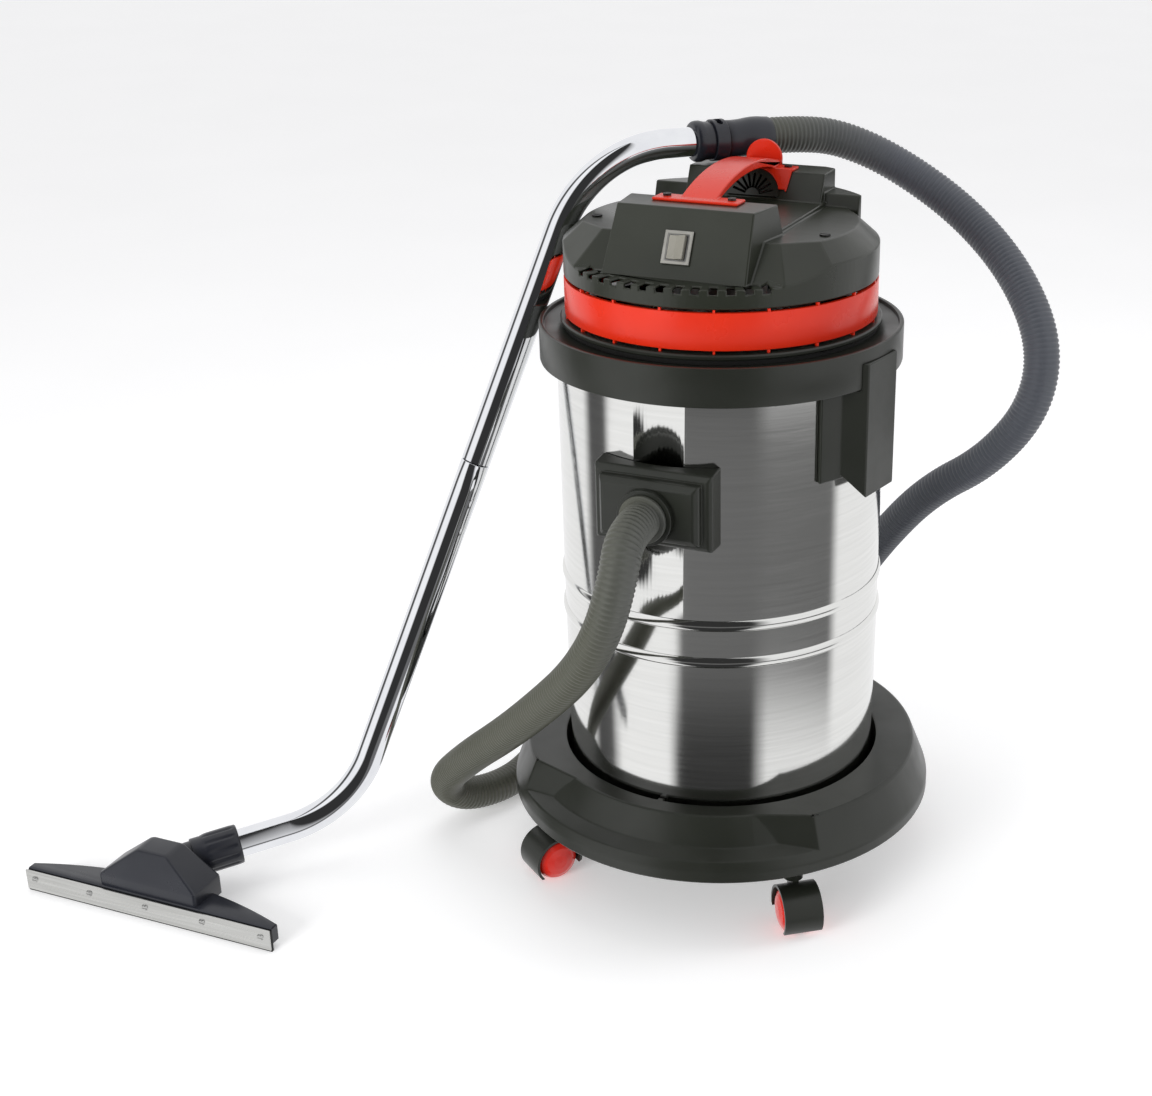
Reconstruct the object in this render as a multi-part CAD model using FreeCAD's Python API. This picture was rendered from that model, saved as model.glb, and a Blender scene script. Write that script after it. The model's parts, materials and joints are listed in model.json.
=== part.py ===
import FreeCAD
import Part
import math
import os

# Wet and dry vacuum cleaner: steel tank on four swivel casters, lift-off motor head,
# ribbed hose, S-shaped wand and squeegee floor tool.
# Millimetres. The origin is on the floor under the tank's axis, +Z is up,
# and the inlet and the switch face -Y.

# ---- Driving dimensions ---------------------------------------------------
TANK_R = 175.0            # outside of the steel tank
TANK_WALL = 1.2
TANK_FLOOR_Z = 98.0
TANK_TOP_Z = 620.0
BEAD_HEIGHTS = (310.0, 352.0)
BEAD_RISE = 2.6
BEAD_HALF = 6.0

BASE_R = 240.0            # foot of the plastic base
BASE_BOTTOM_Z = 83.0
BASE_DECK_Z = 142.0
BASE_DECK_R = 222.0
BASE_TOE_R = 201.0        # the deck is cut back to this over the front toe

CASTER_RING_R = 196.0     # distance of each swivel pin from the tank's axis
WHEEL_R = 24.0
WHEEL_WIDTH = 17.0
AXLE_R = 3.0
STEM_R = 5.0
CASTER_TRAIL = 18.0
FIN_HALF = 3.5
RUNNING = 0.05            # radial clearance of every shaft in its hole

COLLAR_R = 193.0
COLLAR_BOTTOM_Z = 593.0
COLLAR_LEDGE_Z = 629.0
COLLAR_LIP_Z = 633.5
COLLAR_BORE_R = 163.0

CHASSIS_R = 170.0
CHASSIS_TOP_Z = 639.5
BAND_R = 165.0
BAND_BOTTOM_Z = 642.5
BAND_TOP_Z = 680.5
COVER_BOTTOM_Z = 683.5
SPACER_COUNT = 19

RIM_TOP_Z = 703.0         # ledge in front of the switch block
PLATEAU_Z = 737.0
PLATEAU_R = 143.0
CHANNEL_Z = 741.0
FRONT_BLOCK_Z = 767.0
REAR_BLOCK_Z = 770.0
LOW_BLOCK_Z = 750.0
COVER_WALL = 3.0

INLET_Z = 480.0
INLET_BORE_R = 22.1
HOSE_R = 20.0
TUBE_R = 16.0             # wand tube, a standard 32 mm
TUBE_WALL = 1.4

WAND_FOOT = (-528.8, -368.4)      # plan point from which distances along the wand are counted
WAND_DIRECTION = (0.6903, 0.7235)
WAND_TOP_Z = 794.0                # axis of the level top run
CUFF_START = 655.0                # distances along the wand
CUFF_END = 748.0

TOOL_X = -520.5
TOOL_HALF = 162.5
TOOL_FRONT_Y = -400.0

MOTOR_AXIS_TOP_Z = 727.0


# ---- Helpers --------------------------------------------------------------
def vec(x, y, z):
    return FreeCAD.Vector(x, y, z)


UP = vec(0, 0, 1)
AXIS_X = vec(1, 0, 0)
AXIS_Y = vec(0, 1, 0)


def cylinder(radius, z_low, z_high, x=0.0, y=0.0):
    return Part.makeCylinder(radius, z_high - z_low, vec(x, y, z_low), UP)


def ring(inner, outer, z_low, z_high, x=0.0, y=0.0):
    hole = cylinder(inner, z_low - 1, z_high + 1, x, y)
    return cylinder(outer, z_low, z_high, x, y).cut(hole)


def rod(radius, start, end):
    along = end.sub(start)
    return Part.makeCylinder(radius, along.Length, start, along)


def box(x_low, x_high, y_low, y_high, z_low, z_high):
    return Part.makeBox(x_high - x_low, y_high - y_low, z_high - z_low, vec(x_low, y_low, z_low))


def turned(profile, degrees=360.0):
    """Solid of revolution about Z from a closed outline of (radius, height) points."""
    corners = [vec(r, 0, z) for r, z in profile]
    face = Part.Face(Part.makePolygon(corners + corners[:1]))
    return face.revolve(vec(0, 0, 0), UP, degrees)


def side_prism(outline, x_low, x_high):
    """Solid with a (y, z) outline, extruded along X."""
    corners = [vec(x_low, y, z) for y, z in outline]
    face = Part.Face(Part.makePolygon(corners + corners[:1]))
    return face.extrude(vec(x_high - x_low, 0, 0))


def plan_prism(outline, z_low, z_high):
    corners = [vec(x, y, z_low) for x, y in outline]
    face = Part.Face(Part.makePolygon(corners + corners[:1]))
    return face.extrude(vec(0, 0, z_high - z_low))


def fused(pieces):
    whole = pieces[0]
    for piece in pieces[1:]:
        whole = whole.fuse(piece)
    return whole.removeSplitter()


def cut_all(shape, tools):
    for tool in tools:
        shape = shape.cut(tool)
    return shape


def half_space(point, outward, size=900.0):
    """A large block on the outward side of the plane through point."""
    block = Part.makeBox(size, size, size, vec(-size / 2, -size / 2, 0))
    block.Placement = FreeCAD.Placement(point, FreeCAD.Rotation(UP, outward))
    return block


def plane_normal(a, b, c):
    normal = b.sub(a).cross(c.sub(a))
    return normal.normalize()


def spun(shape, degrees, centre=None):
    copy = shape.copy()
    copy.rotate(centre or vec(0, 0, 0), UP, degrees)
    return copy


def mirrored_x(shape):
    return shape.mirror(vec(0, 0, 0), AXIS_X)


def both_sides(shape):
    return [shape, mirrored_x(shape)]


def tangent_path(points, radii=None):
    """Straight runs joined by tangent arcs. Returns the wire, its length and the radii used."""
    edges = []
    used = []
    cursor = points[0]
    for index in range(1, len(points) - 1):
        corner = points[index]
        back = points[index - 1].sub(corner)
        ahead = points[index + 1].sub(corner)
        shorter = min(back.Length, ahead.Length)
        back.normalize()
        ahead.normalize()
        half_turn = (math.pi - back.getAngle(ahead)) / 2
        radius = 0.45 * shorter / math.tan(half_turn)
        if radii:
            radius = radii[index - 1]
        reach = radius * math.tan(half_turn)
        start = corner + back * reach
        end = corner + ahead * reach
        bisector = (back + ahead).normalize()
        middle = corner + bisector * (radius / math.cos(half_turn) - radius)
        edges.append(Part.LineSegment(cursor, start).toShape())
        edges.append(Part.Arc(start, middle, end).toShape())
        used.append(radius)
        cursor = end
    edges.append(Part.LineSegment(cursor, points[-1]).toShape())
    wire = Part.Wire(edges)
    return wire, wire.Length, used


def swept(wire, first, second, radius):
    """A round bar along a path whose first run goes from first to second."""
    disc = Part.Wire(Part.makeCircle(radius, first, second.sub(first)))
    return wire.makePipeShell([disc], True, False)


def wand_point(distance, height):
    return vec(WAND_FOOT[0] + WAND_DIRECTION[0] * distance,
               WAND_FOOT[1] + WAND_DIRECTION[1] * distance, height)


# ---- Tank -----------------------------------------------------------------
def tank_outline(radius, bottom, rim):
    """Edges of one side of the sheet, from the rim down to the floor, over the raised beads."""
    edges = []
    cursor = vec(radius, 0, rim)
    for height in sorted(BEAD_HEIGHTS, reverse=True):
        top = vec(radius, 0, height + BEAD_HALF)
        crest = vec(radius + BEAD_RISE, 0, height)
        foot = vec(radius, 0, height - BEAD_HALF)
        edges.append(Part.LineSegment(cursor, top).toShape())
        edges.append(Part.Arc(top, crest, foot).toShape())
        cursor = foot
    edges.append(Part.LineSegment(cursor, vec(radius, 0, bottom)).toShape())
    edges.append(Part.LineSegment(vec(radius, 0, bottom), vec(0, 0, bottom)).toShape())
    return edges


def tank_body(radius, bottom, rim):
    edges = tank_outline(radius, bottom, rim)
    edges.append(Part.LineSegment(vec(0, 0, bottom), vec(0, 0, rim)).toShape())
    edges.append(Part.LineSegment(vec(0, 0, rim), vec(radius, 0, rim)).toShape())
    return Part.Face(Part.Wire(edges)).revolve(vec(0, 0, 0), UP, 360)


def tank_shell():
    outside = tank_body(TANK_R, TANK_FLOOR_Z, TANK_TOP_Z)
    inside = tank_body(TANK_R - TANK_WALL, TANK_FLOOR_Z + TANK_WALL, TANK_TOP_Z + 1)
    hole = rod(27.0, vec(0, -200, INLET_Z), vec(0, -150, INLET_Z))
    return outside.cut(inside).cut(hole)


def tank_collar():
    """Moulded rim: a deep outer skirt, a flat ledge for the head and a raised outer lip."""
    seat = TANK_R + 0.2
    return turned([
        (seat, COLLAR_BOTTOM_Z), (COLLAR_R, COLLAR_BOTTOM_Z), (COLLAR_R, COLLAR_LIP_Z - 1.5),
        (COLLAR_R - 1.5, COLLAR_LIP_Z), (COLLAR_R - 4.5, COLLAR_LIP_Z),
        (COLLAR_R - 6.0, COLLAR_LEDGE_Z), (COLLAR_BORE_R, COLLAR_LEDGE_Z),
        (COLLAR_BORE_R, TANK_TOP_Z + 0.5), (TANK_R - TANK_WALL - 4.0, TANK_TOP_Z + 0.5),
        (seat, TANK_TOP_Z + 0.5)])


GRIP_TURN = -12.0         # the grip stands a little forward of +X


def side_grip():
    """Hollow moulded grip under the collar, open below, with two foot flanges on the tank."""
    face_half = 29.0
    root_half = 51.0
    wall = 3.5
    outside = plan_prism([(168, -root_half), (196, -face_half), (196, face_half), (168, root_half)],
                         470, 620)
    slope = half_space(vec(176, 0, 502), vec(-25, 0, -20))
    hollow = plan_prism([(160, -root_half + wall), (192.5, -face_half + wall),
                         (192.5, face_half - wall), (160, root_half - wall)], 460, 586)
    shell = outside.cut(slope).cut(hollow)
    flange = turned([(TANK_R + 0.3, 499), (TANK_R + 5.5, 499), (TANK_R + 5.5, 592.5),
                     (TANK_R + 0.3, 592.5)], 46)
    flange = spun(flange, -23)
    flange = flange.cut(plan_prism([(160, -root_half + wall), (200, -face_half + wall),
                                    (200, face_half - wall), (160, root_half - wall)], 460, 600))
    grip = shell.fuse(flange).removeSplitter()
    grip = grip.cut(cylinder(TANK_R + 0.3, 400, COLLAR_BOTTOM_Z))
    grip = grip.cut(cylinder(COLLAR_R, COLLAR_BOTTOM_Z - 0.01, 700))
    return spun(grip, GRIP_TURN)


def inlet_plate():
    """Two stepped plates, the rear one shaped to the tank's curve, with a round way through."""
    rear = side_prism([(-150, 443), (-186, 443), (-190, 447), (-190, 519), (-186, 524),
                       (-150, 528)], -64, 64)
    front = side_prism([(-185, 452), (-198, 452), (-203, 458), (-203, 510), (-198, 516),
                        (-185, 516)], -54, 54)
    for side in (-1, 1):
        edge = vec(side * 54, -198, INLET_Z)
        front = front.cut(half_space(edge, vec(side, -1, 0)))
        edge = vec(side * 64, -186, INLET_Z)
        rear = rear.cut(half_space(edge, vec(side, -1, 0)))
    plate = rear.fuse(front).removeSplitter()
    plate = plate.cut(cylinder(TANK_R + 0.1, 400, 560))
    return plate.cut(rod(27.0, vec(0, -230, INLET_Z), vec(0, -150, INLET_Z)))


def inlet_port():
    """Flanged sleeve through the plate and the tank wall."""
    sleeve = rod(26.8, vec(0, -204, INLET_Z), vec(0, -158, INLET_Z))
    flange = rod(29.5, vec(0, -211, INLET_Z), vec(0, -203.0, INLET_Z))
    bore = rod(INLET_BORE_R, vec(0, -220, INLET_Z), vec(0, -150, INLET_Z))
    return sleeve.fuse(flange).removeSplitter().cut(bore)


def inlet_cuff():
    """Swivelling end of the hose: a sleeve in the port with a stop collar outside it."""
    sleeve = rod(INLET_BORE_R - RUNNING, vec(0, -212, INLET_Z), vec(0, -164, INLET_Z))
    collar = rod(25.0, vec(0, -216, INLET_Z), vec(0, -211.3, INLET_Z))
    bore = rod(18.0, vec(0, -220, INLET_Z), vec(0, -150, INLET_Z))
    return sleeve.fuse(collar).removeSplitter().cut(bore)


def inlet_ring_nut():
    """Backing ring inside the tank, trimmed to its curve."""
    nut = rod(37.0, vec(0, -178, INLET_Z), vec(0, -160, INLET_Z))
    nut = nut.cut(rod(26.9, vec(0, -190, INLET_Z), vec(0, -150, INLET_Z)))
    return nut.common(cylinder(TANK_R - TANK_WALL - 0.1, 400, 560))


def inlet_deflector():
    """Hood inside the tank that turns the incoming stream down, open below."""
    outside = side_prism([(-160, 528), (-104, 520), (-96, 505), (-96, 430), (-160, 430)], -40, 40)
    inside = side_prism([(-170, 526.5), (-105, 518.5), (-98.5, 503), (-98.5, 420), (-170, 420)],
                        -37.5, 37.5)
    hood = outside.cut(inside)
    ear_left = box(-52, -38, -172, -157.5, 470, 490)
    ears = [ear_left, mirrored_x(ear_left)]
    hood = fused([hood] + ears)
    hood = hood.cut(box(-37.5, 37.5, -190, -150, 410, 526.5))
    return hood.common(cylinder(TANK_R - TANK_WALL - 0.1, 400, 560))


# ---- Base and casters -----------------------------------------------------
CASTER_PLACES = {"front_right": -45.0, "front_left": -135.0, "rear_right": 45.0, "rear_left": 135.0}
# Direction in plan from each swivel pin to its wheel centre.
TRAIL_ANGLES = {"front_right": -54.0, "front_left": -126.0, "rear_right": 20.0, "rear_left": 150.0}


def caster_pin(place):
    angle = math.radians(CASTER_PLACES[place])
    return vec(CASTER_RING_R * math.cos(angle), CASTER_RING_R * math.sin(angle), 0)


def front_toe():
    """Space cut from the front of the base: a long slope, a ledge, and a facet at each end."""
    outline = [(BASE_TOE_R, BASE_DECK_Z + 1), (BASE_TOE_R, BASE_DECK_Z), (218, 113), (238, 106),
               (260, 106), (260, BASE_DECK_Z + 1)]
    middle = spun(turned(outline, 62), -121)
    end = spun(turned(outline, 21.5), -59.5)
    deck_front = vec(103, -172, BASE_DECK_Z)
    deck_side = vec(163, -150, BASE_DECK_Z)
    apex = vec(137, -171, 113)
    skirt = vec(178.5, -160, 100)
    behind = None
    for corners in ((deck_front, deck_side, apex), (deck_side, apex, skirt)):
        inward = plane_normal(*corners)
        if inward.y < 0:
            inward = inward * -1
        block = half_space(corners[0], inward)
        behind = block if behind is None else behind.common(block)
    end = end.cut(behind)
    return [middle, end, mirrored_x(end)]


def base_skirt():
    """Round dish for the tank, a broad deck at the sides and rear and a low toe in front."""
    cup_r = TANK_R + 4.6
    dish = turned([
        (0, 92), (184, 92), (184, BASE_BOTTOM_Z), (BASE_R, BASE_BOTTOM_Z), (BASE_R, 96),
        (238.5, 101), (BASE_DECK_R + 1.0, BASE_DECK_Z - 2), (BASE_DECK_R - 1, BASE_DECK_Z),
        (cup_r, BASE_DECK_Z), (cup_r, TANK_FLOOR_Z), (0, TANK_FLOOR_Z)])
    dish = cut_all(dish, front_toe())
    low_hollow = turned([(184, 80), (236, 80), (234.5, 99), (184, 99)])
    high_hollow = turned([(184, 98), (233, 98), (217, 137), (184, 137)], 250)
    high_hollow = spun(high_hollow, -35)
    dish = dish.cut(low_hollow).cut(high_hollow)
    for place in CASTER_PLACES:
        pin = caster_pin(place)
        dish = dish.fuse(cylinder(12.5, 76, 110, pin.x, pin.y))
    for place in CASTER_PLACES:
        pin = caster_pin(place)
        dish = dish.cut(cylinder(8.0, 70, 106, pin.x, pin.y))
    key = box(-4, 4, -cup_r - 2, -TANK_R - 0.3, BASE_DECK_Z - 8, BASE_DECK_Z)
    return dish.fuse(key).removeSplitter()


def caster_sockets():
    """Steel sleeves pressed into the bosses of the base."""
    return Part.makeCompound([
        ring(STEM_R + RUNNING, 8.0, 76, 106, caster_pin(p).x, caster_pin(p).y)
        for p in CASTER_PLACES])


def caster_frame(place, shape):
    """Move a caster piece, made with its pin on the Z axis and its trail along +X."""
    moved = shape.copy()
    moved.rotate(vec(0, 0, 0), UP, TRAIL_ANGLES[place])
    moved.translate(caster_pin(place))
    return moved


def caster_hood():
    """Central fin, wrap-round hood over the wheel tops and the swivel stem."""
    centre = vec(CASTER_TRAIL, 0, WHEEL_R)
    half_width = FIN_HALF + WHEEL_WIDTH + 1.0
    outer = rod(WHEEL_R + 4.5, centre - AXIS_Y * half_width, centre + AXIS_Y * half_width)
    inner = rod(WHEEL_R + 1.5, centre - AXIS_Y * 60, centre + AXIS_Y * 60)
    hood = outer.cut(inner)
    hood = hood.cut(half_space(vec(CASTER_TRAIL - 14, 0, 10), vec(-0.55, 0, -1)))
    hood = hood.cut(half_space(vec(CASTER_TRAIL + 22, 0, 7.5), vec(0.0, 0, -1)))
    fin = rod(WHEEL_R + 2.5, centre - AXIS_Y * FIN_HALF, centre + AXIS_Y * FIN_HALF)
    fin = fin.cut(half_space(vec(CASTER_TRAIL, 0, 8), vec(0, 0, -1)))
    neck = cylinder(11.0, 34, 68)
    neck = neck.cut(box(-20, 60, FIN_HALF, 30, 0, 53.5)).cut(box(-20, 60, -30, -FIN_HALF, 0, 53.5))
    washer = cylinder(12.0, 66, 75.5)
    stem = cylinder(STEM_R, 70, 104)
    body = fused([hood, fin, neck, washer, stem])
    body = body.cut(rod(WHEEL_R + 1.5, centre + AXIS_Y * FIN_HALF, centre + AXIS_Y * 60))
    body = body.cut(rod(WHEEL_R + 1.5, centre - AXIS_Y * 60, centre - AXIS_Y * FIN_HALF))
    return body.cut(rod(AXLE_R + RUNNING, centre - AXIS_Y * 60, centre + AXIS_Y * 60))


def caster_axle():
    centre = vec(CASTER_TRAIL, 0, WHEEL_R)
    reach = FIN_HALF + WHEEL_WIDTH - 3.0
    return rod(AXLE_R, centre - AXIS_Y * reach, centre + AXIS_Y * reach)


def caster_wheels():
    """Two equal wheels, one on each side of the fin, with domed outer faces."""
    wheel = turned([(AXLE_R + RUNNING, 0), (WHEEL_R - 1.5, 0), (WHEEL_R, 1.5),
                    (WHEEL_R, WHEEL_WIDTH - 7), (WHEEL_R - 2.5, WHEEL_WIDTH - 3),
                    (WHEEL_R - 8, WHEEL_WIDTH), (8, WHEEL_WIDTH + 2.0), (0, WHEEL_WIDTH + 2.5),
                    (0, WHEEL_WIDTH - 2.5), (AXLE_R + RUNNING, WHEEL_WIDTH - 2.5)])
    wheel.rotate(vec(0, 0, 0), AXIS_X, -90)
    wheel.translate(vec(CASTER_TRAIL, FIN_HALF + 0.5, WHEEL_R))
    return Part.makeCompound([wheel, wheel.mirror(vec(0, 0, 0), AXIS_Y)])


# ---- Motor head: outside --------------------------------------------------
def head_chassis():
    """Base moulding of the head: sealing plate, locating skirt and motor bowl."""
    return turned([
        (22, 588), (84, 588), (84, 628), (150, 628), (150, 604), (158, 604), (158, 628),
        (160.5, 634), (CHASSIS_R - 1.5, 634), (CHASSIS_R, 635.5), (CHASSIS_R, 638),
        (CHASSIS_R - 1.5, CHASSIS_TOP_Z), (CHASSIS_R - 22, CHASSIS_TOP_Z), (140, 632),
        (80, 632), (80, 592), (22, 592)]).cut(screw_holes(2.4))


def head_gasket():
    return turned([(160.9, COLLAR_LEDGE_Z), (166.5, COLLAR_LEDGE_Z), (166.5, 634), (160.9, 634)])


def exhaust_band():
    return turned([
        (BAND_R - 4, BAND_BOTTOM_Z), (BAND_R - 0.8, BAND_BOTTOM_Z), (BAND_R, BAND_BOTTOM_Z + 0.8),
        (BAND_R, BAND_TOP_Z - 0.8), (BAND_R - 0.8, BAND_TOP_Z), (BAND_R - 4, BAND_TOP_Z)])


def band_spacers():
    """Small ribs that hold the band clear of the chassis and of the cover."""
    ribs = []
    for index in range(SPACER_COUNT):
        angle = 360.0 * index / SPACER_COUNT - 90
        for low, high in ((CHASSIS_TOP_Z, BAND_BOTTOM_Z), (BAND_TOP_Z, COVER_BOTTOM_Z)):
            ribs.append(spun(box(BAND_R - 3.6, BAND_R - 0.2, -1.2, 1.2, low, high), angle))
    return Part.makeCompound(ribs)


def screw_holes(radius):
    return Part.makeCompound(both_sides(cylinder(radius, 600, 760, 125, -36)))


def cover_form(inset):
    """Outer form of the head cover, or its hollow when inset by the wall thickness."""
    t = inset
    low = COVER_BOTTOM_Z - (5 if t else 0)
    rim = cylinder(BAND_R - t, low, RIM_TOP_Z - t)
    dome = turned([(0, low), (BAND_R - t, low), (BAND_R - t, 718 - t / 2),
                   (PLATEAU_R - t / 2, PLATEAU_Z - t), (0, PLATEAU_Z - t)])
    wing_front = vec(0, -120 + t, 704)
    dome = dome.cut(half_space(wing_front, vec(0, -31, 32)))
    for side in (-1, 1):
        corner = vec(side * (117 - t), -117 + t, 704)
        upper = vec(side * (125 - t), -72 + t, 732)
        outer = vec(side * (152 - t), -64 + t, 724)
        outward = plane_normal(corner, upper, outer)
        if outward.x * side < 0:
            outward = outward * -1
        dome = dome.cut(half_space(corner, outward))
    front = side_prism([(-131 + t, 694), (-131 + t, RIM_TOP_Z), (-98 + t, FRONT_BLOCK_Z - t),
                        (-50 - t, FRONT_BLOCK_Z - t), (-44 - t, PLATEAU_Z - 12), (-44 - t, 694)],
                       -95, 95)
    for side in (-1, 1):
        a = vec(side * (77 - t), -131, RIM_TOP_Z)
        b = vec(side * (73 - t), -98, FRONT_BLOCK_Z)
        c = vec(side * (80 - t), -50, FRONT_BLOCK_Z)
        outward = plane_normal(a, b, c)
        if outward.x * side < 0:
            outward = outward * -1
        front = front.cut(half_space(a, outward))
    channel = box(-81 + t, 81 - t, -60, 104, 700, CHANNEL_Z - t)
    rear = side_prism([(88 + t, 700), (88 + t, CHANNEL_Z - 4), (103 + t, REAR_BLOCK_Z - t),
                       (146 - t, REAR_BLOCK_Z - t), (160 - t, 740), (160 - t, 700)],
                      -78 + t, 78 - t)
    low_block = side_prism([(98 + t, 700), (98 + t, PLATEAU_Z - 2), (103 + t, LOW_BLOCK_Z - t),
                            (150, LOW_BLOCK_Z - t), (150, 700)], 60, 118 - t)
    low_block = low_block.cut(half_space(vec(130 - t, 0, PLATEAU_Z), vec(15, 0, 12)))
    backs = fused([rear] + both_sides(low_block)).common(cylinder(160 - t, 690, 780))
    return fused([rim, dome, front, channel, backs])


SWITCH_CENTRE = vec(0, -116.6, 731)
FACE_UP = vec(0, 33, 64).normalize()
FACE_OUT = vec(0, -64, 33).normalize()


def on_switch_face(shape):
    """Place a piece drawn with x across, y up and z out of the sloping switch face."""
    m = FreeCAD.Matrix(1, 0, 0, SWITCH_CENTRE.x,
                       0, FACE_UP.y, FACE_OUT.y, SWITCH_CENTRE.y,
                       0, FACE_UP.z, FACE_OUT.z, SWITCH_CENTRE.z,
                       0, 0, 0, 1)
    moved = shape.copy()
    moved.Placement = FreeCAD.Placement(m)
    return moved


GRILLE_FOOT = vec(0, 91.2, 744)
WALL_UP = vec(0, 15, 33).normalize()
WALL_OUT = vec(0, -33, 15).normalize()


def on_rear_wall(shape):
    """Place a piece drawn with x across, y up and z out of the rear block's front wall."""
    m = FreeCAD.Matrix(1, 0, 0, GRILLE_FOOT.x,
                       0, WALL_UP.y, WALL_OUT.y, GRILLE_FOOT.y,
                       0, WALL_UP.z, WALL_OUT.z, GRILLE_FOOT.z,
                       0, 0, 0, 1)
    moved = shape.copy()
    moved.Placement = FreeCAD.Placement(m)
    return moved


def half_disc(radius, low, high):
    disc = cylinder(radius, low, high)
    return disc.cut(box(-100, 100, -100, 0, low - 1, high + 1))


GLAND_Z = 711.0


def head_cover():
    cover = cover_form(0).cut(cover_form(COVER_WALL))
    for index in range(13):
        angle = 6.2 * (index - 6) - 90
        notch = spun(box(151, 170, -4.0, 4.0, 698, 712), angle)
        cover = cover.cut(notch.cut(box(-78, 78, -131.5, 0, 690, 720)))
    cover = cover.cut(on_switch_face(box(-11, 11, -13.3, 13.3, -40, 5)))
    cover = cover.cut(on_rear_wall(half_disc(26, -12, 12)))
    cover = cover.cut(rod(8.05, vec(0, 140, GLAND_Z), vec(0, 200, GLAND_Z)))
    cover = cover.cut(screw_holes(2.4))
    holes = [cylinder(2.1, 740, 780, x, y) for x, y in HANDLE_SCREW_PLACES]
    return cut_all(cover, holes)


HANDLE_SCREW_PLACES = ((-35, -60), (35, -60), (-33, 113), (33, 113))


def cover_screws():
    """Two slotted screws that clamp the cover, the band and the chassis together."""
    screw = cylinder(2.3, 630, PLATEAU_Z + 1, 125, -36).fuse(
        cylinder(5.5, PLATEAU_Z, PLATEAU_Z + 1.6, 125, -36)).removeSplitter()
    screw = screw.cut(box(119, 131, -36.8, -35.2, PLATEAU_Z + 0.6, PLATEAU_Z + 3))
    return Part.makeCompound(both_sides(screw))


def arch_outline():
    """Side outline of the handle's bow, as tangent-free arcs in the (y, z) plane."""
    outer = Part.Arc(vec(0, -66, 769), vec(0, 22, 788), vec(0, 132, 775)).toShape()
    inner = Part.Arc(vec(0, -48, 769), vec(0, 22, 780), vec(0, 104, 773)).toShape()
    edges = [outer,
             Part.LineSegment(vec(0, 132, 775), vec(0, 132, 770)).toShape(),
             Part.LineSegment(vec(0, 132, 770), vec(0, 104, 770)).toShape(),
             Part.LineSegment(vec(0, 104, 770), vec(0, 104, 773)).toShape(),
             inner,
             Part.LineSegment(vec(0, -48, 769), vec(0, -66, 769)).toShape()]
    return Part.Face(Part.Wire(Part.__sortEdges__(edges)))


def carry_handle():
    """Bow from the switch block to the rear block, its two feet, a thumb tab and an apron."""
    bow = arch_outline().extrude(vec(38, 0, 0))
    bow.translate(vec(-19, 0, 0))
    front_foot = box(-46, 46, -74, -51, FRONT_BLOCK_Z, FRONT_BLOCK_Z + 3)
    rear_foot = box(-42, 42, 103.5, 122, REAR_BLOCK_Z, REAR_BLOCK_Z + 3)
    tab = Part.makeCylinder(20.5, 5, vec(0, 126, 778), AXIS_Y)
    tab = tab.cut(box(-30, 30, 120, 140, 750, 771))
    apron = on_rear_wall(plan_prism([(-42, 33), (42, 33), (38, 6), (-38, 6)], 0.1, 2.6))
    apron = apron.cut(on_rear_wall(half_disc(30, -5, 8)))
    apron = apron.cut(on_rear_wall(box(-36, 36, -5, 8, -5, 8)))
    apron = apron.cut(box(-60, 60, 80, 140, REAR_BLOCK_Z + 3, 790))
    handle = fused([bow, front_foot, rear_foot, tab, apron])
    handle = handle.cut(box(-60, 60, 103.3, 140, 760, REAR_BLOCK_Z))
    return cut_all(handle, [cylinder(2.1, 740, 790, x, y) for x, y in HANDLE_SCREW_PLACES])


def handle_screws():
    screws = []
    for x, y in HANDLE_SCREW_PLACES:
        seat = (FRONT_BLOCK_Z if y < 0 else REAR_BLOCK_Z) + 3
        screw = cylinder(2.0, seat - 12, seat + 1, x, y).fuse(cylinder(4.2, seat, seat + 2.2, x, y))
        screws.append(screw.removeSplitter().cut(box(x - 3, x + 3, y - 0.6, y + 0.6, seat + 1, seat + 3)))
    return Part.makeCompound(screws)


def vent_grille():
    """Half-round air grille with radial slots, in the rear block's front wall."""
    plate = half_disc(29.5, 0.1, 2.0).fuse(half_disc(25.8, -2.8, 0.2)).removeSplitter()
    slots = []
    for index in range(9):
        slot = box(8, 24, -1.4, 1.4, -4, 4)
        slot.rotate(vec(0, 0, 0), UP, 18.0 + 18.0 * index)
        slots.append(slot)
    return on_rear_wall(cut_all(plate, slots))


def switch_bezel():
    frame = box(-15, 15, -17, 17, 0, 3).cut(box(-11, 11, -13.3, 13.3, -1, 4))
    return on_switch_face(frame)


def switch_body():
    """Switch case behind the bezel, with two terminals at its back."""
    case = box(-10.8, 10.8, -13.1, 13.1, -28, -3.4)
    rim = box(-10.9, 10.9, -13.2, 13.2, -6, 2.6).cut(box(-10.3, 10.3, -12.7, 12.7, -7, 4))
    case = case.fuse(rim).removeSplitter()
    tongues = [box(side * 5 - 1.5, side * 5 + 1.5, -3, 3, -31, -28) for side in (-1, 1)]
    return on_switch_face(fused([case] + tongues))


ROCKER_AXIS_OUT = 0.4


def switch_rocker():
    """Rocker that stands out on one side at rest and turns about an upright pin."""
    outline = [(-9.6, 1.0), (-9.6, 3.6), (-2.0, 4.0), (8.4, 8.4), (9.2, 7.4), (8.8, 1.0)]
    corners = [vec(x, -12, z) for x, z in outline]
    body = Part.Face(Part.makePolygon(corners + corners[:1])).extrude(vec(0, 24, 0))
    pin = rod(2.6, vec(0, -11.5, ROCKER_AXIS_OUT), vec(0, 11.5, ROCKER_AXIS_OUT))
    return on_switch_face(body.fuse(pin).removeSplitter())


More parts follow.
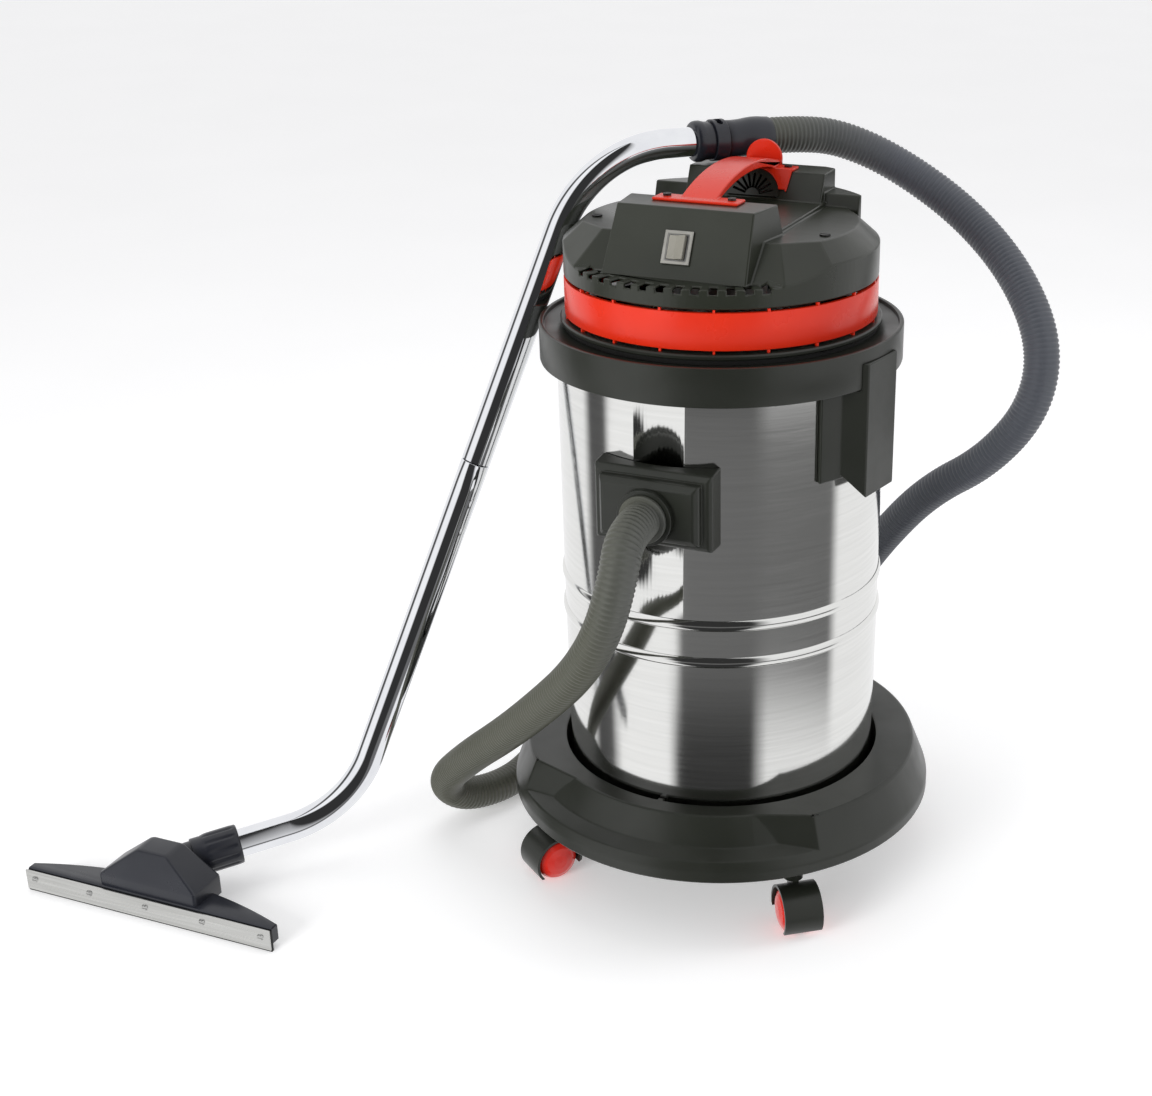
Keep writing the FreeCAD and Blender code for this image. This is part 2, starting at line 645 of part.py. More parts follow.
def cable_gland():
    """Threaded gland for the mains lead at the back of the head, with its inner nut."""
    hexagon = [(math.cos(math.radians(60 * k)) * 11.5, math.sin(math.radians(60 * k)) * 11.5)
               for k in range(6)]
    corners = [vec(x, 165.5, GLAND_Z + z) for x, z in hexagon]
    flange = Part.Face(Part.makePolygon(corners + corners[:1])).extrude(vec(0, 7, 0))
    nose = Part.makeCone(9.0, 6.5, 12, vec(0, 172.5, GLAND_Z), AXIS_Y)
    thread = rod(8.0, vec(0, 148, GLAND_Z), vec(0, 166, GLAND_Z))
    gland = fused([flange, nose, thread])
    return gland.cut(rod(4.1, vec(0, 100, GLAND_Z), vec(0, 200, GLAND_Z)))


# ---- Motor head: inside ---------------------------------------------------
def motor_fan_case():
    return turned([(20, 596), (72, 596), (72, 650), (24, 650), (24, 648), (70, 648), (70, 598),
                   (20, 598)]).fuse(ring(72, 79.5, 600, 603)).removeSplitter()


def motor_frame():
    """Yoke round the stator, with windows for the brushes and a bridge for the top bearing."""
    yoke = turned([(46, 650), (49, 650), (49, 722), (11.1, 722), (11.1, 719), (46, 719)])
    foot = ring(11.1, 49, 650, 653)
    frame = yoke.fuse(foot).removeSplitter()
    frame = frame.cut(box(-60, 60, -7, 7, 702, 717))
    return frame.cut(box(-16, 16, -60, 60, 656, 662))


def motor_bearings():
    return Part.makeCompound([ring(4 + RUNNING, 11, 653.2, 660), ring(4 + RUNNING, 11, 717, 723)])


def stator():
    pack = ring(28.6, 45.9, 664, 700)
    return cut_all(pack, [box(-12, 12, -40, -31, 650, 710), box(-12, 12, 31, 40, 650, 710)])


def brush_holders():
    holder = box(13.4, 52, -5, 5, 705, 715)
    return Part.makeCompound([holder, mirrored_x(holder)])


def rotor_shaft():
    return cylinder(4.0, 600, MOTOR_AXIS_TOP_Z)


def armature():
    core = ring(4.0, 28.0, 664, 700)
    for index in range(12):
        slot = box(21, 30, -1.5, 1.5, 660, 704)
        core = core.cut(spun(slot, 30 * index))
    return core


def commutator():
    return ring(4.0, 13.0, 702, 716.5)


def impeller():
    """Closed centrifugal fan: back disc, eye ring, hub and swept blades."""
    back = cylinder(64, 628, 630)
    eye = ring(24, 64, 610, 612)
    hub = cylinder(11, 608, 630)
    blade = box(22, 62, -1, 1, 611.5, 628.5)
    blade.rotate(vec(22, 0, 0), UP, 32)
    blades = [spun(blade, 45 * k) for k in range(8)]
    wheel = fused([back, eye, hub] + blades).common(cylinder(64, 600, 640))
    return wheel.cut(cylinder(4.0, 590, 650))


LEAD_R = 1.7


def switch_leads():
    """Two insulated leads from the switch terminals to the brush holders."""
    tongue = on_switch_face(Part.Vertex(5, 0, -31)).Point
    inward = FACE_OUT * -1
    route = [tongue, tongue + inward * 16, vec(34, -66, 704), vec(66, -42, 703),
             vec(74, 0, 710), vec(52, 0, 710)]
    wire, length, radii = tangent_path(route)
    lead = swept(wire, route[0], route[1], LEAD_R)
    return Part.makeCompound([lead, mirrored_x(lead)])


def float_cage():
    """Basket under the motor that keeps the float below the suction hole."""
    top = ring(20, 60, 580, 588)
    foot = cylinder(60, 484, 488)
    bars = []
    for k in range(8):
        bars.append(spun(box(54, 59, -4, 4, 486, 582), 45 * k + 22.5))
    return fused([top, foot] + bars)


def float_ball():
    ball = Part.makeSphere(28, vec(0, 0, 516.4))
    return ball.cut(Part.makeSphere(26, vec(0, 0, 516.4)))


def filter_media():
    """Pleated paper sleeve round the float cage."""
    pleats = 36
    outline = []
    for k in range(pleats):
        for part, radius in ((0.0, 89.0), (0.5, 70.0)):
            angle = 2 * math.pi * (k + part) / pleats
            outline.append((radius * math.cos(angle), radius * math.sin(angle)))
    return plan_prism(outline, 490, 582).cut(cylinder(66, 480, 590))


def filter_caps():
    return Part.makeCompound([ring(61, 92, 484, 490), ring(61, 92, 582, 588)])


# ---- Wand and hose --------------------------------------------------------
WAND_JOINT = 392.0        # distance along the wand where the two tubes meet
LOWER_SLOPE = 0.0945
STEEP_START = (275.0, 193.0)
STEEP_SLOPE = 2.3155


def steep_height(distance):
    return STEEP_START[1] + STEEP_SLOPE * (distance - STEEP_START[0])


def low_height(distance):
    return 51.0 + LOWER_SLOPE * (distance - 86.0)


def wand_corner_low():
    distance = (51.0 - LOWER_SLOPE * 86 - STEEP_START[1] + STEEP_SLOPE * STEEP_START[0])
    distance = distance / (STEEP_SLOPE - LOWER_SLOPE)
    return distance, low_height(distance)


def wand_corner_high():
    return STEEP_START[0] + (WAND_TOP_Z - STEEP_START[1]) / STEEP_SLOPE, WAND_TOP_Z


def tube(points, radius_bend, outer, inner):
    wire = tangent_path(points, [radius_bend])[0]
    bar = swept(wire, points[0], points[1], outer)
    bore = swept(wire, points[0], points[1], inner)
    return bar.cut(bore)


def steep_point(distance):
    return wand_point(distance, steep_height(distance))


def wand_lower():
    """Lower tube: level foot, wide bend and a straight run with a swaged spigot."""
    spigot_reach = 16.0
    points = [wand_point(50, low_height(50)), wand_point(*wand_corner_low()),
              steep_point(WAND_JOINT - 0.2)]
    body = tube(points, 120.0, TUBE_R, TUBE_R - TUBE_WALL)
    spigot = rod(TUBE_R - TUBE_WALL - 0.05, steep_point(WAND_JOINT - 8),
                 steep_point(WAND_JOINT + spigot_reach))
    bore = rod(TUBE_R - 2 * TUBE_WALL, steep_point(WAND_JOINT - 20),
               steep_point(WAND_JOINT + spigot_reach + 10))
    return body.fuse(spigot).removeSplitter().cut(bore)


def wand_upper():
    """Upper tube: straight run, wide bend and the level end inside the hose cuff."""
    points = [steep_point(WAND_JOINT), wand_point(*wand_corner_high()),
              wand_point(CUFF_START + 42, WAND_TOP_Z)]
    return tube(points, 137.0, TUBE_R, TUBE_R - TUBE_WALL)


RELIEF_START = CUFF_START + 22.0
RELIEF_END = CUFF_START + 38.0


def on_cuff(radius, start, end):
    return rod(radius, wand_point(start, WAND_TOP_Z), wand_point(end, WAND_TOP_Z))


def hose_cuff():
    """Moulded end of the hose on the wand, with a groove for the air relief ring."""
    body = fused([on_cuff(21.0, CUFF_START, RELIEF_START), on_cuff(18.0, RELIEF_START - 1, RELIEF_END + 1),
                  on_cuff(21.0, RELIEF_END, CUFF_END)])
    body = body.cut(on_cuff(TUBE_R + 0.1, CUFF_START - 5, CUFF_START + 42))
    body = body.cut(on_cuff(15.0, CUFF_START + 40, CUFF_END + 5))
    middle = (RELIEF_START + RELIEF_END) / 2
    port = rod(3.2, wand_point(middle, WAND_TOP_Z + 10), wand_point(middle, WAND_TOP_Z + 30))
    return body.cut(port)


def air_relief_ring():
    ring_body = on_cuff(22.4, RELIEF_START + 0.4, RELIEF_END - 0.4)
    ring_body = ring_body.cut(on_cuff(18.0 + RUNNING, RELIEF_START - 5, RELIEF_END + 5))
    middle = (RELIEF_START + RELIEF_END) / 2
    centre = wand_point(middle, WAND_TOP_Z)
    along = vec(WAND_DIRECTION[0], WAND_DIRECTION[1], 0)
    for degrees in (0, 12, 24):
        slot = rod(3.4, centre, centre + UP * 30)
        slot.rotate(centre, along, degrees)
        ring_body = ring_body.cut(slot)
    return ring_body


HOSE_ROUTE = [
    (0, -216.2, 480), (0, -256, 480), (6, -287, 446), (-9, -293, 388), (-46, -278, 330),
    (-102, -246, 270), (-170, -204, 202), (-247, -158, 132), (-312, -116, 64), (-302, -82, 26),
    (-268, -22, 21.5), (-268, 62, 22), (-238, 148, 21.5), (-168, 220, 24), (-76, 266, 66),
    (14, 272, 146), (74, 246, 236), (128, 212, 322), (188, 184, 397), (258, 167, 448),
    (309, 157, 519), (313, 173, 589), (268, 214, 654), (197, 250, 710), (113, 259, 758),
    (53, 237, 786), (15, 201.5, 794), (-12.4, 172.8, 794)]


def hose_points():
    return [vec(*place) for place in HOSE_ROUTE]


def suction_hose():
    points = hose_points()
    wire, length, radii = tangent_path(points)
    tube_solid = swept(wire, points[0], points[1], HOSE_R)
    section = math.pi * HOSE_R ** 2
    print("hose length %.0f, bend radii %s" % (length, [round(r) for r in radii]))
    print("hose volume %.0f, section times length %.0f" % (tube_solid.Volume, section * length))
    return tube_solid


# ---- Squeegee floor tool --------------------------------------------------
def tool_axis_point(distance):
    return wand_point(distance, low_height(distance))


def leaf(inset, z_low, z_high):
    """Plan shape of the tool: straight in front, bowed behind."""
    x_low = TOOL_X - TOOL_HALF + inset
    x_high = TOOL_X + TOOL_HALF - inset
    front = TOOL_FRONT_Y + inset
    edges = [
        Part.LineSegment(vec(x_low, front, z_low), vec(x_high, front, z_low)).toShape(),
        Part.LineSegment(vec(x_high, front, z_low), vec(x_high, -388 - inset * 0.6, z_low)).toShape(),
        Part.Arc(vec(x_high, -388 - inset * 0.6, z_low), vec(TOOL_X, -360 - inset, z_low),
                 vec(x_low, -388 - inset * 0.6, z_low)).toShape(),
        Part.LineSegment(vec(x_low, -388 - inset * 0.6, z_low), vec(x_low, front, z_low)).toShape()]
    return Part.Face(Part.Wire(edges)).extrude(vec(0, 0, z_high - z_low))


def rectangle(x_half, y_low, y_high, height):
    corners = [vec(TOOL_X - x_half, y_low, height), vec(TOOL_X + x_half, y_low, height),
               vec(TOOL_X + x_half, y_high, height), vec(TOOL_X - x_half, y_high, height)]
    return Part.makePolygon(corners + corners[:1])


def squeegee_body():
    """Channel plate, tapering hood and the spout that takes the wand."""
    plate = leaf(0, 8, 31)
    hood = Part.makeLoft([rectangle(70, -398, -350, 29), rectangle(67, -397, -351, 44),
                          rectangle(21, -384, -352, 78)], True, True)
    spout = rod(19.0, tool_axis_point(14), tool_axis_point(88))
    body = fused([plate, hood, spout])
    body = body.cut(leaf(3.5, 0, 25))
    hollow = Part.makeLoft([rectangle(58, -393, -356, 20), rectangle(16, -380, -358, 64)], True, True)
    body = body.cut(hollow)
    body = body.cut(rod(13.5, tool_axis_point(16), tool_axis_point(60)))
    body = body.cut(rod(TUBE_R + 0.08, tool_axis_point(49.8), tool_axis_point(95)))
    return body


def neck_cuff():
    """Fluted clamping sleeve on the spout."""
    sleeve = rod(23.0, tool_axis_point(52), tool_axis_point(88))
    sleeve = sleeve.cut(rod(19.05, tool_axis_point(40), tool_axis_point(100)))
    axis = tool_axis_point(100).sub(tool_axis_point(0))
    side = axis.cross(UP).normalize()
    for k in range(10):
        flute = rod(2.2, tool_axis_point(60) + side * 24.2, tool_axis_point(100) + side * 24.2)
        flute.rotate(tool_axis_point(60), axis, 36 * k)
        sleeve = sleeve.cut(flute)
    return sleeve


BLADE_Y = TOOL_FRONT_Y - 3.5
STRIP_Y = BLADE_Y - 1.5


def front_blade():
    return box(TOOL_X - TOOL_HALF, TOOL_X + TOOL_HALF, BLADE_Y, TOOL_FRONT_Y, 0, 25).cut(strip_bores())


def rear_blade():
    return box(TOOL_X - 125, TOOL_X + 125, -384.5, -381.5, 0, 25)


def front_strip():
    return box(TOOL_X - TOOL_HALF, TOOL_X + TOOL_HALF, STRIP_Y, BLADE_Y, 2.5, 27).cut(strip_bores())


def strip_places():
    return [TOOL_X + spread * (TOOL_HALF - 12) / 2 for spread in (-2, -1, 0, 1, 2)]


def strip_bores():
    return Part.makeCompound([rod(2.05, vec(x, STRIP_Y - 5, 17), vec(x, -390, 17))
                              for x in strip_places()])


def strip_screws():
    screws = []
    for x in strip_places():
        shank = rod(2.0, vec(x, STRIP_Y - 0.5, 17), vec(x, TOOL_FRONT_Y + 3.2, 17))
        head = Part.makeCone(3.8, 2.6, 2.0, vec(x, STRIP_Y, 17), vec(0, -1, 0))
        screw = shank.fuse(head).removeSplitter()
        screws.append(screw.cut(box(x - 3, x + 3, STRIP_Y - 3, STRIP_Y - 1.2, 16.5, 17.5)))
    return Part.makeCompound(screws)


def bored_squeegee_body():
    return squeegee_body().cut(strip_bores())


# ---- Export ---------------------------------------------------------------
def write(name, shape):
    for solid in shape.Solids:
        if not solid.isValid() or solid.Volume < 1.0:
            print("check solid of", name, solid.isValid(), round(solid.Volume, 1))
    if not shape.Solids:
        print("no solid in", name)
    shape.exportStep("parts/%s.step" % name)


SINGLE_NODES = {
    "tank_shell": tank_shell,
    "tank_collar": tank_collar,
    "side_grip": side_grip,
    "inlet_plate": inlet_plate,
    "inlet_port": inlet_port,
    "inlet_cuff": inlet_cuff,
    "inlet_ring_nut": inlet_ring_nut,
    "inlet_deflector": inlet_deflector,
    "base_skirt": base_skirt,
    "caster_sockets": caster_sockets,
    "head_chassis": head_chassis,
    "head_gasket": head_gasket,
    "exhaust_band": exhaust_band,
    "band_spacers": band_spacers,
    "head_cover": head_cover,
    "cover_screws": cover_screws,
    "carry_handle": carry_handle,
    "handle_screws": handle_screws,
    "vent_grille": vent_grille,
    "switch_bezel": switch_bezel,
    "switch_body": switch_body,
    "switch_rocker": switch_rocker,
    "switch_leads": switch_leads,
    "cable_gland": cable_gland,
    "motor_fan_case": motor_fan_case,
    "motor_frame": motor_frame,
    "motor_bearings": motor_bearings,
    "stator": stator,
    "brush_holders": brush_holders,
    "rotor_shaft": rotor_shaft,
    "armature": armature,
    "commutator": commutator,
    "impeller": impeller,
    "float_cage": float_cage,
    "float_ball": float_ball,
    "filter_media": filter_media,
    "filter_caps": filter_caps,
    "wand_lower": wand_lower,
    "wand_upper": wand_upper,
    "hose_cuff": hose_cuff,
    "air_relief_ring": air_relief_ring,
    "suction_hose": suction_hose,
    "squeegee_body": bored_squeegee_body,
    "neck_cuff": neck_cuff,
    "front_blade": front_blade,
    "rear_blade": rear_blade,
    "front_strip": front_strip,
    "strip_screws": strip_screws,
}


def main():
    os.makedirs("parts", exist_ok=True)
    for name, make in SINGLE_NODES.items():
        write(name, make())
    hood = caster_hood()
    axle = caster_axle()
    wheels = caster_wheels()
    for place in CASTER_PLACES:
        write("caster_hood_" + place, caster_frame(place, hood))
        write("caster_axle_" + place, caster_frame(place, axle))
        write("caster_wheels_" + place, caster_frame(place, wheels))


main()
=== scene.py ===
import bpy
import bmesh
import json
import math
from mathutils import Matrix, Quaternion, Vector

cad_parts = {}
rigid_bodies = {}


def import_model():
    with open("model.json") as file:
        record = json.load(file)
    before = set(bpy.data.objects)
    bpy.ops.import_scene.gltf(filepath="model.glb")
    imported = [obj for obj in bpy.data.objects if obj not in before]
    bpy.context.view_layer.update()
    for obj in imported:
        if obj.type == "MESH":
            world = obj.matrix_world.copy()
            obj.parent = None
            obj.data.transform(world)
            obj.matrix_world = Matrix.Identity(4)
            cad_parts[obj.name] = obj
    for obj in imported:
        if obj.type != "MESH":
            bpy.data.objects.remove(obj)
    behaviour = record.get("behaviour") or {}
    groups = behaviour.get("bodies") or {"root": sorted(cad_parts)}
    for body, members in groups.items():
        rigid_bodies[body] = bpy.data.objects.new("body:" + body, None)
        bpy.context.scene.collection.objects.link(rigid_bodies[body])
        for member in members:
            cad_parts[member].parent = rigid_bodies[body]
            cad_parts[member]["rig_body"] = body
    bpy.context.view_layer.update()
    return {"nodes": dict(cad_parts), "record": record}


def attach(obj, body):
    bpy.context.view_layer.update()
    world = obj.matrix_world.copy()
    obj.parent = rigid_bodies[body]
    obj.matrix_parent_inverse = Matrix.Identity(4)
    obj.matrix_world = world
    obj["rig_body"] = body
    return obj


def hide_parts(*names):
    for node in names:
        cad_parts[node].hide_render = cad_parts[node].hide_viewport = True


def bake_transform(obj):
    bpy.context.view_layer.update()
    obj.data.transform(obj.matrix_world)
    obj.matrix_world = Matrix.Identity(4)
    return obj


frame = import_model()
nodes = frame["nodes"]
scene = bpy.context.scene
node_body = {o.name: o["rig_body"] for o in nodes.values()}
node_slot = {s["node"]: s["material_slot"] for s in frame["record"]["subparts"]}
scene.view_settings.view_transform = "Standard"
scene.view_settings.look = "None"

# ---- Camera ---------------------------------------------------------------
AZIMUTH = math.radians(21.5)
PITCH = math.radians(22.73)
camera_data = bpy.data.cameras.new("camera")
camera_data.lens = 55.0
camera_data.sensor_width = 36.0
camera_data.shift_x = -0.1262
camera = bpy.data.objects.new("camera", camera_data)
camera.location = (0.6652, -1.6887, 1.127)
camera.rotation_euler = (math.pi / 2 - PITCH, 0, AZIMUTH)
scene.collection.objects.link(camera)
scene.camera = camera


# ---- Mesh helpers ---------------------------------------------------------
def new_object(name, vertices, faces, smooth_angle=35.0):
    mesh = bpy.data.meshes.new(name)
    mesh.from_pydata([tuple(v) for v in vertices], [], faces)
    mesh.validate()
    bm = bmesh.new()
    bm.from_mesh(mesh)
    bmesh.ops.recalc_face_normals(bm, faces=bm.faces)
    bm.to_mesh(mesh)
    bm.free()
    mesh.shade_smooth()
    mesh.set_sharp_from_angle(angle=math.radians(smooth_angle))
    obj = bpy.data.objects.new(name, mesh)
    scene.collection.objects.link(obj)
    return obj


def lathe(name, profile, smooth_angle, steps=256):
    """Turn a closed (radius, height) outline about the tank's axis."""
    vertices = []
    faces = []
    count = len(profile)
    for i in range(steps):
        angle = 2 * math.pi * i / steps
        for radius, height in profile:
            vertices.append((radius * math.cos(angle), radius * math.sin(angle), height))
    for i in range(steps):
        onward = (i + 1) % steps
        for j in range(count):
            k = (j + 1) % count
            faces.append((i * count + j, onward * count + j, onward * count + k, i * count + k))
    return new_object(name, vertices, faces, smooth_angle)


def path_frames(points):
    """A frame (point, side, up) at each path point, turned as little as possible from one to the next."""
    frames = []
    tangent = (points[1] - points[0]).normalized()
    side = tangent.orthogonal().normalized()
    for i, point in enumerate(points):
        ahead = points[min(i + 1, len(points) - 1)] - points[max(i - 1, 0)]
        new_tangent = ahead.normalized()
        turn = tangent.rotation_difference(new_tangent)
        side = turn @ side
        side = (side - new_tangent * side.dot(new_tangent)).normalized()
        tangent = new_tangent
        frames.append((point, side, tangent.cross(side)))
    return frames


def tube(name, points, radii, around=32, bores=None, smooth_angle=50.0):
    """Skin a path with one radius per point; with bores, the tube is hollow."""
    frames = path_frames(points)
    loops = [(frames[i], radii[i]) for i in range(len(points))]
    if bores:
        loops += [(frames[i], bores[i]) for i in reversed(range(len(points)))]
    vertices = []
    for (point, side, up), radius in loops:
        for k in range(around):
            angle = 2 * math.pi * k / around
            vertices.append(point + (side * math.cos(angle) + up * math.sin(angle)) * radius)
    faces = []
    rings = len(loops)
    for i in range(rings if bores else rings - 1):
        j = (i + 1) % rings
        for k in range(around):
            m = (k + 1) % around
            faces.append((i * around + k, j * around + k, j * around + m, i * around + m))
    if not bores:
        faces.append(tuple(range(around))[::-1])
        faces.append(tuple((rings - 1) * around + k for k in range(around)))
    return new_object(name, vertices, faces, smooth_angle)


def resampled(points, step):
    """Points at even spacing along a polyline."""
    lengths = [0.0]
    for a, b in zip(points, points[1:]):
        lengths.append(lengths[-1] + (b - a).length)
    count = max(2, round(lengths[-1] / step))
    result = []
    index = 0
    for k in range(count + 1):
        target = lengths[-1] * k / count
        while index < len(points) - 2 and lengths[index + 1] < target:
            index += 1
        span = lengths[index + 1] - lengths[index]
        share = (target - lengths[index]) / span if span else 0.0
        result.append(points[index].lerp(points[index + 1], min(max(share, 0.0), 1.0)))
    return result


def finish_piece(obj, material, body, replaced=()):
    obj.data.materials.clear()
    obj.data.materials.append(material)
    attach(obj, body)
    if replaced:
        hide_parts(*replaced)
    return obj


# ---- Hose -----------------------------------------------------------------
HOSE_ROUTE = [
    (0, -0.2162, 0.48), (0, -0.256, 0.48), (0.006, -0.287, 0.446), (-0.009, -0.293, 0.388),
    (-0.046, -0.278, 0.33), (-0.102, -0.246, 0.27), (-0.17, -0.204, 0.202),
    (-0.247, -0.158, 0.132), (-0.312, -0.116, 0.064), (-0.302, -0.082, 0.026),
    (-0.268, -0.022, 0.0215), (-0.268, 0.062, 0.022), (-0.238, 0.148, 0.0215),
    (-0.168, 0.22, 0.024), (-0.076, 0.266, 0.066), (0.014, 0.272, 0.146), (0.074, 0.246, 0.236),
    (0.128, 0.212, 0.322), (0.188, 0.184, 0.397), (0.258, 0.167, 0.448), (0.309, 0.157, 0.519),
    (0.313, 0.173, 0.589), (0.268, 0.214, 0.654), (0.197, 0.25, 0.71), (0.113, 0.259, 0.758),
    (0.053, 0.237, 0.786), (0.015, 0.2015, 0.794), (-0.0124, 0.1728, 0.794)]
HOSE_DIAMETER = 0.040
RIB_PITCH = 0.0052
RIB_DEPTH = 0.0013
SAMPLES_PER_RIB = 6


def nurbs_line(route):
    """Points along the smooth curve that has the route's points as its control points."""
    curve = bpy.data.curves.new("route", "CURVE")
    curve.dimensions = "3D"
    spline = curve.splines.new("NURBS")
    spline.points.add(len(route) - 1)
    for point, place in zip(spline.points, route):
        point.co = (*place, 1.0)
    spline.order_u = 3
    spline.use_endpoint_u = True
    spline.resolution_u = 24
    holder = bpy.data.objects.new("route", curve)
    scene.collection.objects.link(holder)
    bpy.context.view_layer.update()
    mesh = bpy.data.meshes.new_from_object(holder)
    line = [v.co.copy() for v in mesh.vertices]
    bpy.data.objects.remove(holder)
    bpy.data.meshes.remove(mesh)
    return line


def make_hose():
    line = resampled(nurbs_line(HOSE_ROUTE), RIB_PITCH / SAMPLES_PER_RIB)
    outer = HOSE_DIAMETER / 2
    radii = []
    for index in range(len(line)):
        wave = 0.5 + 0.5 * math.cos(2 * math.pi * index / SAMPLES_PER_RIB)
        radii.append(outer - RIB_DEPTH * (1 - wave ** 0.7))
    hose = tube("hose", line, radii, around=40, smooth_angle=80.0)
    return hose, line


hose, hose_line = make_hose()


# ---- Materials ------------------------------------------------------------
class Shader:
    """A node material built around one Principled shader, in object coordinates."""

    def __init__(self, name, roughness=0.5, metallic=0.0, specular=0.5, coat=0.0, coat_roughness=0.1):
        self.material = bpy.data.materials.new(name)
        self.material.use_nodes = True
        self.tree = self.material.node_tree
        self.principled = self.tree.nodes["Principled BSDF"]
        self.principled.inputs["Metallic"].default_value = metallic
        self.principled.inputs["Roughness"].default_value = roughness
        self.principled.inputs["Specular IOR Level"].default_value = specular
        self.principled.inputs["Coat Weight"].default_value = coat
        self.principled.inputs["Coat Roughness"].default_value = coat_roughness
        self.place = self.node("ShaderNodeTexCoord").outputs["Object"]
        self.height = None

    def node(self, kind, **settings):
        made = self.tree.nodes.new(kind)
        for key, value in settings.items():
            if key in made.inputs:
                made.inputs[key].default_value = value
            else:
                setattr(made, key, value)
        return made

    def link(self, source, target):
        self.tree.links.new(source, target)

    def noise(self, scale, detail=4.0, rough=0.55, stretch=(1, 1, 1)):
        mapping = self.node("ShaderNodeMapping")
        mapping.inputs["Scale"].default_value = stretch
        self.link(self.place, mapping.inputs["Vector"])
        texture = self.node("ShaderNodeTexNoise", Scale=scale, Detail=detail, Roughness=rough)
        self.link(mapping.outputs["Vector"], texture.inputs["Vector"])
        return texture.outputs["Fac"]

    def cells(self, scale):
        texture = self.node("ShaderNodeTexVoronoi", Scale=scale)
        self.link(self.place, texture.inputs["Vector"])
        return texture.outputs["Distance"]

    def ranged(self, value, low, high, from_low=0.3, from_high=0.7):
        mapped = self.node("ShaderNodeMapRange")
        limits = (("From Min", from_low), ("From Max", from_high), ("To Min", low), ("To Max", high))
        for key, number in limits:
            mapped.inputs[key].default_value = number
        self.link(value, mapped.inputs["Value"])
        return mapped.outputs["Result"]

    def colours(self, value, first, second, start=0.3, end=0.7):
        ramp = self.node("ShaderNodeValToRGB")
        ramp.color_ramp.elements[0].color = (*first, 1)
        ramp.color_ramp.elements[1].color = (*second, 1)
        ramp.color_ramp.elements[0].position = start
        ramp.color_ramp.elements[1].position = end
        self.link(value, ramp.inputs["Fac"])
        self.link(ramp.outputs["Color"], self.principled.inputs["Base Color"])

    def varied_roughness(self, value, low, high):
        self.link(self.ranged(value, low, high), self.principled.inputs["Roughness"])

    def bump(self, value, strength, distance):
        made = self.node("ShaderNodeBump", Strength=strength, Distance=distance)
        self.link(value, made.inputs["Height"])
        if self.height:
            self.link(self.height, made.inputs["Normal"])
        self.height = made.outputs["Normal"]
        self.link(self.height, self.principled.inputs["Normal"])


def moulded(name, dark, light, low, high, grain=0.12, grain_scale=900.0, specular=0.5, coat=0.0):
    """Injection-moulded plastic: fine spark grain, faint mottling and handling marks."""
    shader = Shader(name, specular=specular, coat=coat, coat_roughness=0.18)
    shader.colours(shader.noise(6.0, 5.0), dark, light)
    shader.varied_roughness(shader.noise(22.0, 6.0), low, high)
    shader.bump(shader.cells(grain_scale), grain, 0.0002)
    shader.bump(shader.noise(9.0, 2.0), 0.04, 0.002)
    return shader.material


def metal(name, dark, light, low, high, stretch=(1, 1, 1), scale=60.0, scratch=0.05):
    """Bare or plated metal with fine directional marks."""
    shader = Shader(name, metallic=1.0)
    shader.colours(shader.noise(scale, 6.0, stretch=stretch), dark, light)
    shader.varied_roughness(shader.noise(scale * 1.7, 5.0, stretch=stretch), low, high)
    shader.bump(shader.noise(scale * 4, 6.0, stretch=stretch), scratch, 0.0001)
    return shader.material


black = moulded("black moulded plastic", (0.012, 0.0135, 0.0100), (0.018, 0.020, 0.015), 0.30, 0.42,
                grain=0.08)
black_cover = moulded("black satin cover", (0.015, 0.017, 0.0115), (0.022, 0.025, 0.017), 0.27, 0.37,
                      grain=0.05, specular=0.5)
tool_black = moulded("blue-black moulded plastic", (0.012, 0.013, 0.018), (0.018, 0.020, 0.027), 0.26, 0.38,
                     grain=0.05)
red = moulded("red moulded plastic", (0.60, 0.018, 0.003), (0.68, 0.026, 0.005), 0.24, 0.34, grain=0.04,
              specular=0.4, coat=0.05)
wheel_red = moulded("red wheel plastic", (0.60, 0.010, 0.002), (0.68, 0.016, 0.004), 0.25, 0.36,
                    grain=0.05, coat=0.2)


def make_hose_plastic_painted_sheen():
    """Grey hose plastic with a painted sheen: olive near the inlet, turning to a painted blue-grey sheen on
    the far loop.
    """
    shader = Shader("grey-black hose plastic, painted blue sheen", specular=0.5)
    parts = shader.node("ShaderNodeSeparateXYZ")
    shader.link(shader.place, parts.inputs["Vector"])
    # Painted sheen: the base colour shifts from olive to blue-grey as X grows, standing in for the bluish
    # sheen that light gives the far loop.
    shader.colours(shader.ranged(parts.outputs["X"], 0.0, 1.0, -0.02, 0.12), (0.074, 0.076, 0.058),
                   (0.072, 0.078, 0.092), 0.0, 1.0)
    shader.varied_roughness(shader.noise(22.0, 6.0), 0.34, 0.46)
    shader.bump(shader.cells(900.0), 0.05, 0.0002)
    return shader.material


hose_plastic = make_hose_plastic_painted_sheen()
grey_plastic = moulded("grey moulded plastic", (0.22, 0.22, 0.22), (0.28, 0.28, 0.27), 0.40, 0.52)
rubber = moulded("black rubber", (0.010, 0.010, 0.010), (0.020, 0.020, 0.019), 0.60, 0.78, grain=0.2,
                 grain_scale=500.0, specular=0.3)
switch_grey = moulded("warm grey switch", (0.22, 0.21, 0.18), (0.27, 0.26, 0.22), 0.22, 0.32, grain=0.03)
tank_steel = metal("polished tank steel", (0.76, 0.76, 0.74), (0.82, 0.82, 0.80), 0.09, 0.13,
                   stretch=(0.4, 0.4, 14.0), scale=18.0, scratch=0.010)
chrome = metal("polished chrome", (0.80, 0.81, 0.84), (0.87, 0.88, 0.90), 0.035, 0.06, scale=30.0,
               scratch=0.004)
aluminium = metal("satin aluminium", (0.52, 0.52, 0.50), (0.64, 0.64, 0.62), 0.24, 0.36,
                  stretch=(0.2, 8.0, 8.0), scale=40.0, scratch=0.10)
